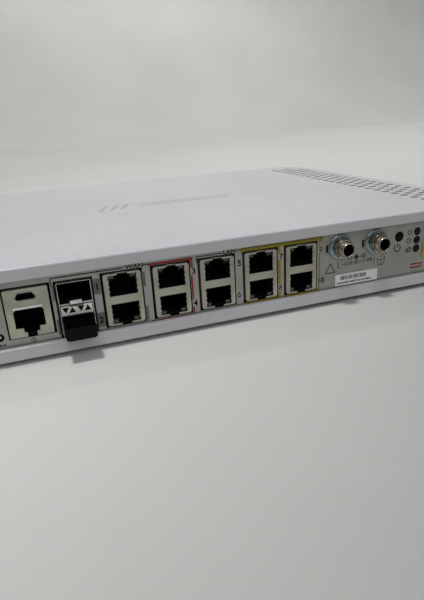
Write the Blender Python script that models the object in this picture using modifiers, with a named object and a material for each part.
"""A desktop network terminal with optical, copper and console ports, as separate pieces.

The scene is in metres with +Z up and +X along the front, seen from the front (-Y).
Sizes below are in millimetres, and MM turns them into metres. Depths into the case are
counted from the front face of the face plate, at y = FACE.
"""

import math

import bmesh
import bpy
from mathutils import Matrix

MM = 0.001
GAP = 0.3  # clearance between pieces that touch on the real object

# Case
HALF_WIDTH = 157.3
CASE_DEPTH = 232.4  # from the face plate to the back
HEIGHT = 41.15
LIP = 3.0  # how far the case lips stand in front of the face plate
PLUG_REACH = 11.5  # how far the dust plug stands in front of the face plate
FACE = (PLUG_REACH - CASE_DEPTH) / 2  # puts the whole object's middle at y = 0
REAR_RADIUS = 28.0
FRONT_RADIUS = 8.0
EDGE_ROUND = 0.9
WALL = 2.3
FLOOR = 1.6
FOOT_LIFT = 1.9
SPLIT_LOW = 13.9
SPLIT_HIGH = 14.2
BOTTOM_LIP_TOP = 7.7
BOTTOM_LIP_WALL = 1.6  # thickness of the lower lip, which stands free of the face plate
TOP_LIP_LOW = 35.93
CHEEK = 7.8  # width of the case in front of the face plate's ends

# Vents: staggered rows along each side of the top
VENT_ROWS = (127.3, 133.9, 140.5, 147.0)
VENT_PITCH = 8.6
VENT_FIRST = 22.2
VENT_LAST = 212.0
VENT_RADIUS = 2.3
VENT_MARGIN = 10.4

# Face plate
PLATE_THICK = 1.2
PLATE_HALF = 150.4
PLATE_LOW = 4.6
PLATE_HIGH = 38.4
CAGE_MARGINS = (0.9, 0.8, 0.5, 1.1)  # gaps left, right, below and above the cage's window
CONSOLE_MARGINS = (0.65, 0.65, 0.4, 0.9)  # the same round the console jack
INLET_SLOT = (-8.0, -6.9, -2.0, 1.9)  # left, right, low and high of the slot beside an inlet
INLET_HOLE = 3.9
KEY_HOLE = 2.65
RESET_HOLE = 1.75

# Stacked RJ45 jacks
STACK_LEFTS = (-56.8, -35.3, -13.8, 7.75, 28.9)
STACK_WIDTH = 16.3
STACK_LOW = 8.8
STACK_TALL = 23.4
STACK_DEEP = 25.0
SHIELD_FRONT = -0.4
SHIELD_WALL = 0.5
SHIELD_SKIN = 0.8  # thickness of the shields' front
SOCKET_DEEP = 14.0
STACK_MARGINS = (0.85, 0.4, 0.5)  # gaps left of a stack, right of it, and above and below

# Console jack
CONSOLE_LEFT = -96.6
CONSOLE_RIGHT = -79.15
CONSOLE_LOW = 11.0
CONSOLE_HIGH = 31.7
CONSOLE_DEEP = 22.0

# Optical cage
CAGE_LEFT = -75.9
CAGE_RIGHT = -61.8
CAGE_LOW = 7.4
CAGE_HIGH = 31.4
CAGE_DEEP = 48.0
CAGE_SHEET = 0.35
PORT_LEFT = CAGE_LEFT + CAGE_SHEET
PORT_RIGHT = CAGE_RIGHT - CAGE_SHEET
CAGE_MIDDLE = (PORT_LEFT + PORT_RIGHT) / 2

# Power inlets, button and lights
JACK_XS = (58.6, 79.1)
JACK_Z = 28.1
POWER_KEY = (93.3, 28.7)
RESET_KEY = (-100.6, 12.4)
LIGHTS = ((104.4, 30.1), (104.4, 25.6), (104.4, 21.1))
LIGHT_HOLE = 2.1

# Boards
BOARD_TOP = 7.0
BOARD_THICK = 1.6
BOARD_HALF = 138.0
BOARD_FRONT = 1.6
BOARD_BACK = 195.0
BOARD_POSTS = ((-130, 13), (130, 13), (-130, 185), (130, 185))
COVER_POSTS = ((-146, 14), (146, 14), (-134, 219), (134, 219))
FEET = ((-130, 34), (130, 34), (-118, 203), (118, 203))
TOWER_RADIUS = 5.2
BOARD_POST_RADIUS = 3.2
HEAD_POCKET = (5.2, 3.5)  # top and radius of the recess round a cover screw's head
FOOT_POCKET = (3.1, 7.3)  # the same round a foot

for leftover in list(bpy.data.objects):
    bpy.data.objects.remove(leftover, do_unlink=True)

PARTS = bpy.data.collections.new("network_terminal")
CUTTERS = bpy.data.collections.new("cutters")
for collection in (PARTS, CUTTERS):
    bpy.context.scene.collection.children.link(collection)


def make_material(name, colour, roughness, metallic=0.0):
    material = bpy.data.materials.new(name)
    material.use_nodes = True
    shader = material.node_tree.nodes["Principled BSDF"]
    shader.inputs["Base Color"].default_value = (*colour, 1.0)
    shader.inputs["Roughness"].default_value = roughness
    shader.inputs["Metallic"].default_value = metallic
    material.diffuse_color = (*colour, 1.0)
    return material


CASE_PLASTIC = make_material("case_plastic", (0.52, 0.52, 0.55), 0.55)
PLATE_METAL = make_material("plate_metal", (0.20, 0.20, 0.19), 0.45, 0.6)
SHIELD_METAL = make_material("shield_metal", (0.42, 0.41, 0.34), 0.35, 0.9)
CAGE_METAL = make_material("cage_metal", (0.55, 0.55, 0.54), 0.25, 1.0)
NICKEL = make_material("nickel", (0.66, 0.66, 0.64), 0.2, 1.0)
ZINC = make_material("zinc", (0.62, 0.68, 0.70), 0.25, 1.0)
BLACK_PLASTIC = make_material("black_plastic", (0.015, 0.015, 0.016), 0.5)
RUBBER = make_material("rubber", (0.03, 0.03, 0.03), 0.8)
BOARD_GREEN = make_material("board_green", (0.02, 0.12, 0.05), 0.5)
CHIP_BLACK = make_material("chip_black", (0.02, 0.02, 0.022), 0.4)
SINK_METAL = make_material("sink_metal", (0.45, 0.46, 0.47), 0.4, 1.0)
PAD_GREY = make_material("pad_grey", (0.35, 0.38, 0.42), 0.8)
STEEL = make_material("steel", (0.5, 0.5, 0.5), 0.3, 1.0)
LENS = make_material("lens", (0.03, 0.03, 0.04), 0.2)
LABEL_WHITE = make_material("label_white", (0.75, 0.76, 0.78), 0.5)
STICKER_YELLOW = make_material("sticker_yellow", (0.45, 0.35, 0.05), 0.5)
SHEET_AMBER = make_material("sheet_amber", (0.25, 0.20, 0.12), 0.6)


def place(obj, material, collection=PARTS):
    """Links an object, and hides it from renders when it is only a cutter."""
    collection.objects.link(obj)
    if collection is CUTTERS:
        obj.hide_render = True
        obj.display_type = "WIRE"
    else:
        obj.data.materials.append(material)
        obj.data.shade_smooth()
        obj.data.set_sharp_from_angle(angle=math.radians(35))
    return obj


def object_from(name, form, centre):
    mesh = bpy.data.meshes.new(name)
    form.to_mesh(mesh)
    form.free()
    obj = bpy.data.objects.new(name, mesh)
    obj.location = [value * MM for value in centre]
    return obj


def box_form(low, high):
    form = bmesh.new()
    bmesh.ops.create_cube(form, size=1.0)
    size = [(b - a) * MM for a, b in zip(low, high)]
    bmesh.ops.scale(form, vec=size, verts=form.verts)
    return form


def middle_of(low, high):
    return [(a + b) / 2 for a, b in zip(low, high)]


def bevel(form, edges, width, segments):
    bmesh.ops.bevel(
        form, geom=edges, offset=width * MM, offset_type="OFFSET", segments=segments,
        profile=0.5, affect="EDGES", clamp_overlap=False,
    )


def box(name, low, high, material=None, collection=PARTS, edge=0.0, segments=1):
    """A box between two corners, whose edges are bevelled by edge."""
    form = box_form(low, high)
    if edge:
        bevel(form, form.edges[:], edge, segments)
    return place(object_from(name, form, middle_of(low, high)), material, collection)


def block_cutter(name, blocks):
    """One cutter made of boxes that don't touch, each a pair of corners."""
    whole = bmesh.new()
    for low, high in blocks:
        made = bmesh.ops.create_cube(whole, size=1.0)["verts"]
        size = [(b - a) * MM for a, b in zip(low, high)]
        bmesh.ops.scale(whole, vec=size, verts=made)
        bmesh.ops.translate(whole, vec=[v * MM for v in middle_of(low, high)], verts=made)
    return place(object_from(name, whole, (0, 0, 0)), None, CUTTERS)


def post_form(posts, low, high, radius, sides):
    """Upright cylinders at each (x, depth), in one mesh."""
    whole = bmesh.new()
    for x, depth in posts:
        made = bmesh.ops.create_cone(
            whole, cap_ends=True, segments=sides, radius1=radius * MM,
            radius2=radius * MM, depth=(high - low) * MM,
        )["verts"]
        centre = (x * MM, (FACE + depth) * MM, (low + high) / 2 * MM)
        bmesh.ops.translate(whole, vec=centre, verts=made)
    return whole


def post_cutter(name, posts, low, high, radius, sides=16):
    form = post_form(posts, low, high, radius, sides)
    return place(object_from(name, form, (0, 0, 0)), None, CUTTERS)


def add_boolean(obj, other, operation):
    modifier = obj.modifiers.new(f"{operation.lower()}_{other.name}", "BOOLEAN")
    modifier.operation = operation
    modifier.solver = "EXACT"
    modifier.object = other


def cut(obj, *others):
    for other in others:
        add_boolean(obj, other, "DIFFERENCE")


def join(obj, *others):
    for other in others:
        add_boolean(obj, other, "UNION")


def prism_form(points, thick):
    """An outline without holes in XY, drawn as one face and extruded both ways."""
    form = bmesh.new()
    floor = form.faces.new([form.verts.new((u * MM, v * MM, -thick / 2 * MM)) for u, v in points])
    grown = bmesh.ops.extrude_face_region(form, geom=[floor])["geom"]
    raised = [piece for piece in grown if isinstance(piece, bmesh.types.BMVert)]
    bmesh.ops.translate(form, vec=(0, 0, thick * MM), verts=raised)
    bmesh.ops.recalc_face_normals(form, faces=form.faces)
    return form


def pierced_form(name, loops, thick):
    """An outline with holes in XY, filled as a flat curve with an extrusion."""
    curve = bpy.data.curves.new(name, "CURVE")
    curve.dimensions = "2D"
    curve.fill_mode = "BOTH"
    curve.extrude = thick / 2 * MM
    for points in loops:
        spline = curve.splines.new("POLY")
        spline.points.add(len(points) - 1)
        for point, (u, v) in zip(spline.points, points):
            point.co = (u * MM, v * MM, 0.0, 1.0)
        spline.use_cyclic_u = True
    guide = bpy.data.objects.new(name, curve)
    PARTS.objects.link(guide)
    graph = bpy.context.evaluated_depsgraph_get()
    mesh = bpy.data.meshes.new_from_object(guide.evaluated_get(graph))
    bpy.data.objects.remove(guide)
    form = bmesh.new()
    form.from_mesh(mesh)
    bmesh.ops.remove_doubles(form, verts=form.verts, dist=1e-6)
    bmesh.ops.recalc_face_normals(form, faces=form.faces)
    return form


def outline(name, loops, thick, centre, facing, material=None, collection=PARTS):
    """A flat outline, with the later loops as holes, given a thickness.

    facing "up" lays the loops in XY, "front" stands them in XZ and "side" in YZ.
    """
    if len(loops) == 1:
        form = prism_form(loops[0], thick)
    else:
        form = pierced_form(name, loops, thick)
    obj = object_from(name, form, centre)
    quarter = math.pi / 2
    obj.rotation_euler = {
        "up": (0, 0, 0), "front": (quarter, 0, 0), "side": (quarter, 0, quarter),
    }[facing]
    return place(obj, material, collection)


def rectangle(x0, x1, z0, z1):
    return [(x0, z0), (x1, z0), (x1, z1), (x0, z1)]


def ring(x, z, radius, sides=20):
    turns = [math.tau * k / sides for k in range(sides)]
    return [(x + radius * math.cos(a), z + radius * math.sin(a)) for a in turns]


def turned(name, profile, centre, facing, material=None, sides=20, collection=PARTS):
    """A turned piece from (radius, height) points, from the axis's top round to its foot.

    Height runs up for facing "up" and out of the face plate for facing "front".
    """
    form = bmesh.new()
    made = [form.verts.new((radius * MM, 0.0, height * MM)) for radius, height in profile]
    for first, second in zip(made, made[1:]):
        form.edges.new((first, second))
    obj = object_from(name, form, centre)
    screw = obj.modifiers.new("turn", "SCREW")
    screw.steps = sides
    screw.render_steps = sides
    screw.use_merge_vertices = True
    screw.merge_threshold = 1e-6
    screw.use_smooth_shade = True
    if facing == "front":
        obj.rotation_euler = (math.pi / 2, 0, 0)
    return place(obj, material, collection)


def baked_mesh(obj, name):
    """The object's shape with its modifiers applied, as a mesh that copies can share."""
    shaped = obj.evaluated_get(bpy.context.evaluated_depsgraph_get())
    mesh = bpy.data.meshes.new_from_object(shaped)
    mesh.transform(shaped.matrix_world)
    mesh.name = name
    bpy.data.objects.remove(obj)
    return mesh


# Case


def case_slab(name, low, high, inset, round_edge=None, material=None, collection=PARTS):
    """A block with the case's plan, inset all round; round_edge is "top", "bottom" or None.

    An inset block is the hollow of a cover, and starts just in front of the face plate.
    """
    x = HALF_WIDTH - inset
    front = FACE - (GAP if inset else LIP)
    corners = ((-x, front, low), (x, FACE + CASE_DEPTH - inset, high))
    form = box_form(*corners)
    for side, radius in ((-1, FRONT_RADIUS), (1, REAR_RADIUS)):
        upright = [
            edge for edge in form.edges
            if abs(edge.verts[0].co.z - edge.verts[1].co.z) > 0.5 * (high - low) * MM
            and edge.verts[0].co.y * side > 0
            and abs(edge.verts[0].co.x) > (x - 0.1) * MM
        ]
        bevel(form, upright, radius - inset, 8 if side > 0 else 4)
    if round_edge:
        level = (high - low) / 2 * MM * (1 if round_edge == "top" else -1)
        rim = [
            edge for edge in form.edges
            if all(abs(vert.co.z - level) < 1e-6 for vert in edge.verts)
        ]
        bevel(form, rim, EDGE_ROUND, 2)
    return place(object_from(name, form, middle_of(*corners)), material, collection)


def vent_places():
    """(x, depth) of each vent hole on the right side, in staggered rows."""
    arc_x = HALF_WIDTH - REAR_RADIUS
    arc_depth = CASE_DEPTH - REAR_RADIUS
    places = []
    for row, x in enumerate(VENT_ROWS):
        depth = VENT_FIRST + (VENT_PITCH / 2 if row % 2 else 0)
        while depth < VENT_LAST:
            past = max(depth - arc_depth, 0)
            reach = math.hypot(max(x - arc_x, 0), past)
            if past == 0 or reach < REAR_RADIUS - VENT_MARGIN:
                places.append((x, depth))
            depth += VENT_PITCH
    return places


def front_window(name, low, high):
    """Cuts the case wall away in front of the face plate between two heights."""
    half = HALF_WIDTH - CHEEK
    return block_cutter(
        name, [((-half, FACE - 2 * LIP, low), (half, FACE + 4, high))]
    )


def make_top_cover():
    cover = case_slab("top_cover", SPLIT_HIGH, HEIGHT, 0, "top", CASE_PLASTIC)
    hollow = case_slab("top_hollow", SPLIT_LOW - 1, HEIGHT - WALL, WALL, None, None, CUTTERS)
    cut(cover, hollow, front_window("top_window", SPLIT_LOW - 2, TOP_LIP_LOW))
    posts = post_form(COVER_POSTS, BOARD_TOP + 0.7, HEIGHT - WALL + 0.5, 4.0, 12)
    join(cover, place(object_from("top_posts", posts, (0, 0, 0)), None, CUTTERS))
    cut(cover, post_cutter("top_pilots", COVER_POSTS, BOARD_TOP - 1, 20, 1.5, 8))
    right = vent_places()
    both = right + [(-x, depth) for x, depth in right]
    cut(cover, post_cutter("vents", both, HEIGHT - WALL - 1, HEIGHT + 1, VENT_RADIUS, 6))


def make_bottom_cover():
    cover = case_slab("bottom_cover", FOOT_LIFT, SPLIT_LOW, 0, "bottom", CASE_PLASTIC)
    floor_top = FOOT_LIFT + FLOOR
    hollow = case_slab("bottom_hollow", floor_top, SPLIT_HIGH + 1, WALL, None, None, CUTTERS)
    half = HALF_WIDTH - CHEEK
    lip_back = FACE - LIP + BOTTOM_LIP_WALL
    trough = block_cutter(
        "trough", [((-half, lip_back, PLATE_LOW), (half, FACE + PLATE_THICK, BOTTOM_LIP_TOP + 1))]
    )
    cut(cover, hollow, trough, front_window("bottom_window", BOTTOM_LIP_TOP, SPLIT_HIGH + 1))
    towers = post_form(COVER_POSTS, floor_top - 0.5, BOARD_TOP + 0.4, TOWER_RADIUS, 12)
    join(cover, place(object_from("towers", towers, (0, 0, 0)), None, CUTTERS))
    post_top = BOARD_TOP - BOARD_THICK - GAP
    posts = post_form(BOARD_POSTS, floor_top - 0.5, post_top, BOARD_POST_RADIUS, 12)
    join(cover, place(object_from("posts", posts, (0, 0, 0)), None, CUTTERS))
    cut(
        cover,
        post_cutter("head_pockets", COVER_POSTS, FOOT_LIFT - 1, *HEAD_POCKET, 16),
        post_cutter("shank_holes", COVER_POSTS, 5.0, BOARD_TOP + 1, 1.8, 12),
        post_cutter("board_pilots", BOARD_POSTS, 3.2, BOARD_TOP, 1.3, 8),
        post_cutter("foot_pockets", FEET, FOOT_LIFT - 1, *FOOT_POCKET, 20),
    )


def make_fasteners():
    feet_profile = [(0, 2.8), (7.0, 2.8), (7.0, 0.6), (6.4, 0), (0, 0)]
    for number, (x, depth) in enumerate(FEET, 1):
        turned(f"foot_{number}", feet_profile, (x, FACE + depth, 0), "up", RUBBER, 20)
    cover_screw = [(0, 16), (1.2, 16), (1.2, 2.0), (3.0, 2.0), (3.0, 0.5), (2.4, 0), (0, 0)]
    for number, (x, depth) in enumerate(COVER_POSTS, 1):
        turned(f"cover_screw_{number}", cover_screw, (x, FACE + depth, 2.9), "up", STEEL, 12)
    board_screw = [(0, 1.6), (2.0, 1.6), (2.8, 0.8), (2.8, 0), (1.0, 0), (1.0, -3.6), (0, -3.6)]
    for number, (x, depth) in enumerate(BOARD_POSTS, 1):
        centre = (x, FACE + depth, BOARD_TOP + GAP)
        turned(f"board_screw_{number}", board_screw, centre, "up", STEEL, 12)


# Face plate


def plate_windows():
    """(left, right, low, high) of each rectangular cut-out."""
    before, after, level = STACK_MARGINS
    windows = [
        (left - before, left + STACK_WIDTH + after, STACK_LOW - level, STACK_LOW + STACK_TALL + level)
        for left in STACK_LEFTS
    ]
    for (left, right, low, high), (before, after, under, over) in (
        ((CAGE_LEFT, CAGE_RIGHT, CAGE_LOW, CAGE_HIGH), CAGE_MARGINS),
        ((CONSOLE_LEFT, CONSOLE_RIGHT, CONSOLE_LOW, CONSOLE_HIGH), CONSOLE_MARGINS),
    ):
        windows.append((left - before, right + after, low - under, high + over))
    left, right, low, high = INLET_SLOT
    return windows + [(x + left, x + right, JACK_Z + low, JACK_Z + high) for x in JACK_XS]


def round_windows():
    """(x, z, radius) of each round hole."""
    holes = [(x, JACK_Z, INLET_HOLE) for x in JACK_XS]
    holes += [(*POWER_KEY, KEY_HOLE), (*RESET_KEY, RESET_HOLE)]
    return holes + [(x, z, LIGHT_HOLE) for x, z in LIGHTS]


def rod_cutter(name, holes, depth):
    """Round cutters along Y, centred on the face plate's front face."""
    whole = bmesh.new()
    flip = Matrix.Rotation(math.pi / 2, 3, "X")
    for x, z, radius in holes:
        made = bmesh.ops.create_cone(
            whole, cap_ends=True, segments=20, radius1=radius * MM, radius2=radius * MM,
            depth=depth * MM,
        )["verts"]
        bmesh.ops.rotate(whole, cent=(0, 0, 0), matrix=flip, verts=made)
        bmesh.ops.translate(whole, vec=(x * MM, FACE * MM, z * MM), verts=made)
    return place(object_from(name, whole, (0, 0, 0)), None, CUTTERS)


def make_face_plate():
    plate = box(
        "face_plate", (-PLATE_HALF, FACE, PLATE_LOW), (PLATE_HALF, FACE + PLATE_THICK, PLATE_HIGH),
        PLATE_METAL,
    )
    windows = [
        ((left, FACE - 2, low), (right, FACE + 3, high))
        for left, right, low, high in plate_windows()
    ]
    cut(plate, block_cutter("plate_windows", windows), rod_cutter("plate_holes", round_windows(), 6))
    box("serial_label", (56.0, FACE - 0.5, 8.2), (80.8, FACE - GAP, 14.1), LABEL_WHITE)
    box("yellow_sticker", (108.4, FACE - 0.5, 15.0), (122.4, FACE - GAP, 24.2), STICKER_YELLOW)


# RJ45 stacks. Heights here are above the stack's foot, widths from its left side.

SHIELD_WINDOW = (2.2, 14.1)
SHIELD_NOTCH = (6.0, 10.4)
UPPER_WINDOW = (13.3, 22.5)
LOWER_WINDOW = (0.8, 9.7)
SOCKET_SIDES = (2.3, 14.0)
LATCH_SLOT = (5.0, 11.3)
UPPER_SOCKET = (13.4, 20.1, 22.2)
LOWER_SOCKET = (9.6, 2.9, 1.1)


def tee(sides, slot, levels):
    """A socket's T outline: full width between the first two levels, slot to the third."""
    start, shoulder, end = levels
    return [
        (sides[0], start), (sides[1], start), (sides[1], shoulder), (slot[1], shoulder),
        (slot[1], end), (slot[0], end), (slot[0], shoulder), (sides[0], shoulder),
    ]


def front_cutter(name, loop, from_depth, to_depth):
    centre = (0, (from_depth + to_depth) / 2, 0)
    return outline(name, [loop], to_depth - from_depth, centre, "front", None, CUTTERS)


def stack_shield_mesh():
    shield = box(
        "shield", (0, SHIELD_FRONT, 0), (STACK_WIDTH, STACK_DEEP, STACK_TALL), SHIELD_METAL,
    )
    inside = (
        (SHIELD_WALL, SHIELD_FRONT + SHIELD_SKIN, -1),
        (STACK_WIDTH - SHIELD_WALL, STACK_DEEP - SHIELD_WALL, STACK_TALL - SHIELD_WALL),
    )
    upper = (UPPER_WINDOW[0], UPPER_WINDOW[1], STACK_TALL + 1)
    lower = (LOWER_WINDOW[1], LOWER_WINDOW[0], -1)
    cut(
        shield,
        block_cutter("shield_inside", [inside]),
        front_cutter("upper_window", tee(SHIELD_WINDOW, SHIELD_NOTCH, upper), -2, 0.7),
        front_cutter("lower_window", tee(SHIELD_WINDOW, SHIELD_NOTCH, lower), -2, 0.7),
    )
    return baked_mesh(shield, "rj45_shield")


def stack_housing_mesh():
    side = SHIELD_WALL + GAP
    front = SHIELD_FRONT + SHIELD_SKIN + GAP
    foot = BOARD_TOP + GAP - STACK_LOW
    back = STACK_DEEP - side
    housing = box(
        "housing", (side, front, 0.7), (STACK_WIDTH - side, back, STACK_TALL - side),
        BLACK_PLASTIC,
    )
    base = block_cutter(
        "housing_base", [((side + 0.5, 2.0, foot), (STACK_WIDTH - side - 0.5, back - 0.5, 1.0))]
    )
    join(housing, base)
    cut(
        housing,
        front_cutter("upper_socket", tee(SOCKET_SIDES, LATCH_SLOT, UPPER_SOCKET), -1, SOCKET_DEEP),
        front_cutter("lower_socket", tee(SOCKET_SIDES, LATCH_SLOT, LOWER_SOCKET), -1, SOCKET_DEEP),
    )
    return baked_mesh(housing, "rj45_housing")


def make_stacks():
    meshes = {"rj45_shield": stack_shield_mesh(), "rj45_housing": stack_housing_mesh()}
    for number, left in enumerate(STACK_LEFTS, 1):
        for name, mesh in meshes.items():
            obj = bpy.data.objects.new(f"{name}_{number}", mesh)
            obj.location = (left * MM, FACE * MM, STACK_LOW * MM)
            PARTS.objects.link(obj)


# Console jack

CONSOLE_SOCKET = [
    (-93.8, 15.0), (-90.8, 15.0), (-90.8, 13.0), (-89.7, 13.0), (-89.7, 10.0), (-85.9, 10.0),
    (-85.9, 13.0), (-84.6, 13.0), (-84.6, 15.0), (-82.0, 15.0), (-82.0, 22.2), (-82.8, 23.0),
    (-93.0, 23.0), (-93.8, 22.2),
]
USB_MOUTH = [(-92.2, 27.9), (-91.2, 27.0), (-84.9, 27.0), (-84.1, 27.9), (-85.6, 29.9), (-90.8, 29.9)]


def make_console():
    front = FACE + SHIELD_FRONT
    shield = box(
        "console_shield", (CONSOLE_LEFT, front, CONSOLE_LOW),
        (CONSOLE_RIGHT, FACE + CONSOLE_DEEP, CONSOLE_HIGH), SHIELD_METAL,
    )
    inside = (
        (CONSOLE_LEFT + SHIELD_WALL, front + SHIELD_SKIN, CONSOLE_LOW - 1),
        (CONSOLE_RIGHT - SHIELD_WALL, FACE + CONSOLE_DEEP - SHIELD_WALL, CONSOLE_HIGH - SHIELD_WALL),
    )
    lip = block_cutter("console_lip", [((-93.5, FACE - 1.3, 23.3), (-82.3, FACE, 23.8))])
    join(shield, lip)
    cut(
        shield,
        block_cutter("console_inside", [inside]),
        front_cutter("console_window", CONSOLE_SOCKET, FACE - 2, FACE + 0.7),
        front_cutter("usb_window", USB_MOUTH, FACE - 2, FACE + 0.7),
    )
    side = SHIELD_WALL + GAP
    housing = box(
        "console_housing", (CONSOLE_LEFT + side, front + SHIELD_SKIN + GAP, CONSOLE_LOW + 0.7),
        (CONSOLE_RIGHT - side, FACE + CONSOLE_DEEP - side, CONSOLE_HIGH - side), BLACK_PLASTIC,
    )
    base = ((CONSOLE_LEFT + 1.4, FACE + 2.0, BOARD_TOP + GAP),
            (CONSOLE_RIGHT - 1.4, FACE + CONSOLE_DEEP - 1.4, CONSOLE_LOW + 1.0))
    join(housing, block_cutter("console_base", [base]))
    low_slot = CONSOLE_LOW + 1.2
    socket = [(x, max(z, low_slot)) for x, z in CONSOLE_SOCKET]
    cut(
        housing,
        front_cutter("console_socket", socket, FACE - 1, FACE + SOCKET_DEEP),
        front_cutter("usb_socket", USB_MOUTH, FACE - 1, FACE + 6.0),
    )
    box("usb_tongue", (-90.3, FACE + 1.2, 28.6), (-86.1, FACE + 5.7, 29.3), BLACK_PLASTIC)


# Optical cage

UPPER_PORT = (22.2, 31.05)
LOWER_PORT = (7.75, 16.6)
STRIP_BAY = (16.9, 21.6)
TAB_HALF = 2.45
TAB_DEEP = 12.0


def make_cage():
    cage = box(
        "sfp_cage", (CAGE_LEFT, FACE, CAGE_LOW),
        (CAGE_RIGHT, FACE + CAGE_DEEP, CAGE_HIGH), CAGE_METAL,
    )
    mouth = FACE - 2
    inner = FACE + CAGE_DEEP - CAGE_SHEET
    slot = (CAGE_MIDDLE - TAB_HALF - GAP, CAGE_MIDDLE + TAB_HALF + GAP)
    cut(
        cage,
        block_cutter("cage_bays", [
            ((PORT_LEFT, mouth, UPPER_PORT[0]), (PORT_RIGHT, inner, UPPER_PORT[1])),
            ((PORT_LEFT, mouth, LOWER_PORT[0]), (PORT_RIGHT, inner, LOWER_PORT[1])),
            ((PORT_LEFT, mouth, STRIP_BAY[0]), (PORT_RIGHT, FACE + 20, STRIP_BAY[1])),
        ]),
        block_cutter("tab_slot", [((slot[0], mouth, 21.0), (slot[1], FACE + 14, 23.0))]),
    )
    strip = box(
        "sfp_arrow_strip", (PORT_LEFT + GAP, FACE - 0.6, 17.2),
        (PORT_RIGHT - GAP, FACE + 10, 21.2), CAGE_METAL,
    )
    relief = ((slot[0], FACE - 2, 20.7), (slot[1], FACE + 13, 22))
    cut(strip, block_cutter("strip_relief", [relief]))


def make_latch_tab():
    """A leaf that hangs on its rear end, with its front edge turned up."""
    profile = [(-TAB_DEEP - 0.6, 21.8), (0, 21.8), (0, 22.1), (-TAB_DEEP - 0.2, 22.1),
               (-TAB_DEEP - 0.2, 23.2), (-TAB_DEEP - 0.6, 23.2)]
    local = [(u, v - 21.95) for u, v in profile]
    centre = (CAGE_MIDDLE, FACE + TAB_DEEP, 21.95)
    outline("sfp_latch_tab", [local], 2 * TAB_HALF, centre, "side", CAGE_METAL)


PLUG_LOW = 8.7
PLUG_HIGH = 16.3
PLUG_DEEP = 11.5
PLUG_CORNER = 2.0  # taken off each lower corner outside the port
PLUG_SLACK = (0.2, 0.6)  # left and right of the block in its port


def make_dust_plug():
    """A block in the lower port, clear above the case's lip, with a tapered outer end."""
    left = PORT_LEFT + PLUG_SLACK[0]
    right = PORT_RIGHT - PLUG_SLACK[1]
    side = [
        (PLUG_DEEP, PLUG_LOW), (PLUG_DEEP, PLUG_HIGH), (-1.0, PLUG_HIGH),
        (-PLUG_REACH + 0.5, PLUG_HIGH - 0.9), (-PLUG_REACH, PLUG_HIGH - 1.4),
        (-PLUG_REACH, PLUG_LOW + 1.4), (-PLUG_REACH + 0.6, PLUG_LOW + 0.9), (-4.0, PLUG_LOW),
    ]
    centre = ((left + right) / 2, FACE, 0)
    plug = outline("sfp_dust_plug", [side], right - left, centre, "side", BLACK_PLASTIC)
    reach = PLUG_CORNER + 1
    for name, x, way in (("plug_left", left, 1), ("plug_right", right, -1)):
        loop = [
            (x - way, PLUG_LOW - 1), (x + way * reach, PLUG_LOW - 1), (x - way, PLUG_LOW + reach),
        ]
        cut(plug, front_cutter(name, loop, FACE - 20, FACE - 1.0))


# Power inlets


def make_inlets():
    jack = [(0, 4.5), (1.0, 4.5), (1.0, -1.5), (2.8, -1.5), (2.8, 7.1), (3.1, 7.4), (3.5, 7.0),
            (3.5, -1.5), (5.6, -1.5), (5.6, -3.5), (4.6, -3.5), (4.6, -14.0), (0, -14.0)]
    washer = [(3.9, 1.1), (6.5, 1.1), (6.5, GAP), (3.9, GAP), (3.9, 1.1)]
    for number, x in enumerate(JACK_XS, 1):
        centre = (x, FACE, JACK_Z)
        turned(f"dc_jack_{number}", jack, centre, "front", NICKEL, 16)
        turned(f"dc_washer_{number}", washer, centre, "front", ZINC, 24)
        hexagon = ring(x, JACK_Z, 5.0, 6)
        nut_centre = (0, FACE - 2.9, 0)
        outline(
            f"dc_nut_{number}", [hexagon, ring(x, JACK_Z, 3.8, 16)], 3.0, nut_centre, "front",
            NICKEL,
        )


# Buttons and lights


def make_controls():
    key = [(0, 0.3), (1.9, 0.3), (2.3, 0), (2.3, -1.6), (3.3, -1.6), (3.3, -2.6), (2.0, -2.6),
           (2.0, -4.6), (0, -4.6)]
    turned("power_button", key, (POWER_KEY[0], FACE, POWER_KEY[1]), "front", BLACK_PLASTIC, 20)
    pin = [(0, -0.3), (1.2, -0.3), (1.4, -0.5), (1.4, -1.8), (2.4, -1.8), (2.4, -2.8), (1.3, -2.8),
           (1.3, -5.0), (0, -5.0)]
    turned("reset_button", pin, (RESET_KEY[0], FACE, RESET_KEY[1]), "front", CASE_PLASTIC, 16)
    lens = LIGHT_HOLE - GAP
    light = [(0, 0.5), (1.1, 0.4), (lens, 0.1), (lens, -10.5), (0, -10.5)]
    for number, (x, z) in enumerate(LIGHTS, 1):
        turned(f"status_light_{number}", light, (x, FACE, z), "front", LENS, 16)
    x, z = POWER_KEY
    box("power_switch", (x - 3, FACE + 6.2, z - 3), (x + 3, FACE + 10.5, z + 3), CHIP_BLACK)
    box("button_board", (88, FACE + 10.8, BOARD_TOP + GAP), (109, FACE + 12.4, 34), BOARD_GREEN)
    x, z = RESET_KEY
    foot = BOARD_TOP + GAP
    box("reset_switch", (x - 3, FACE + 6.6, foot), (x + 3, FACE + 10.6, z + 2.6), CHIP_BLACK)


# Inside the case


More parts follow.
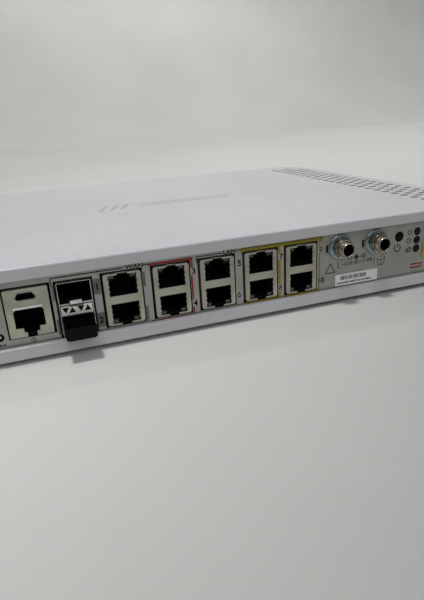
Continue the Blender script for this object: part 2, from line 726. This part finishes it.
def make_board():
    loops = [rectangle(-BOARD_HALF, BOARD_HALF, FACE + BOARD_FRONT, FACE + BOARD_BACK)]
    loops += [ring(x, FACE + depth, 1.6, 12) for x, depth in BOARD_POSTS]
    centre = (0, 0, BOARD_TOP - BOARD_THICK / 2)
    outline("main_board", loops, BOARD_THICK, centre, "up", BOARD_GREEN)
    loops = [rectangle(-BOARD_HALF + 1, BOARD_HALF - 1, FACE + 6, FACE + BOARD_BACK - 2)]
    loops += [ring(x, FACE + depth, 3.6, 12) for x, depth in BOARD_POSTS]
    outline("insulator_sheet", loops, 0.4, (0, 0, 4.5), "up", SHEET_AMBER)


def make_processor():
    x, depth = 20, 105
    foot = BOARD_TOP + GAP
    for name, half, low, high, material in (
        ("processor", 17.5, foot, foot + 2.2, CHIP_BLACK),
        ("thermal_pad", 16.5, foot + 2.5, foot + 3.3, PAD_GREY),
    ):
        corners = (x - half, FACE + depth - half, low), (x + half, FACE + depth + half, high)
        box(name, *corners, material)
    base = foot + 3.6
    half = 35.0
    fins = 11
    fin = 1.4
    pitch = (2 * half - fin) / (fins - 1)
    comb = [(x - half, base), (x + half, base)]
    for k in reversed(range(fins)):
        left = x - half + k * pitch
        comb += [(left + fin, base + 3), (left + fin, 32), (left, 32), (left, base + 3)]
    comb = comb[:2] + comb[3:-1]
    outline("heat_sink", [comb], 2 * half, (0, FACE + depth, 0), "front", SINK_METAL)


def make_modules():
    foot = BOARD_TOP + GAP
    box("memory_socket", (-94, FACE + 120, foot), (-22, FACE + 127, foot + 5.2), CHIP_BLACK)
    box("memory_module", (-92, FACE + 127.3, foot + 2), (-24, FACE + 157, foot + 3.2), BOARD_GREEN)
    box("storage_socket", (72, FACE + 108, foot), (94, FACE + 114, foot + 4.2), CHIP_BLACK)
    box("storage_module", (72, FACE + 114.3, foot + 1.6), (94, FACE + 156, foot + 3.6), BOARD_GREEN)
    cup = [(0, 1.0), (10.3, 1.0), (10.3, 3.4), (11.8, 3.4), (11.8, 0), (0, 0)]
    turned("coin_cell_holder", cup, (-110, FACE + 80, foot), "up", CHIP_BLACK, 20)
    cell = [(0, 3.2), (8.8, 3.2), (10.0, 2.6), (10.0, 0), (0, 0)]
    turned("coin_cell", cell, (-110, FACE + 80, foot + 1.3), "up", STEEL, 20)
    low, high = (96, FACE + 34, foot), (128, FACE + 92, foot + 13)
    box("power_converter", low, high, CHIP_BLACK, PARTS, 0.8)


make_top_cover()
make_bottom_cover()
make_fasteners()
make_face_plate()
make_stacks()
make_console()
make_cage()
make_latch_tab()
make_dust_plug()
make_inlets()
make_controls()
make_board()
make_processor()
make_modules()
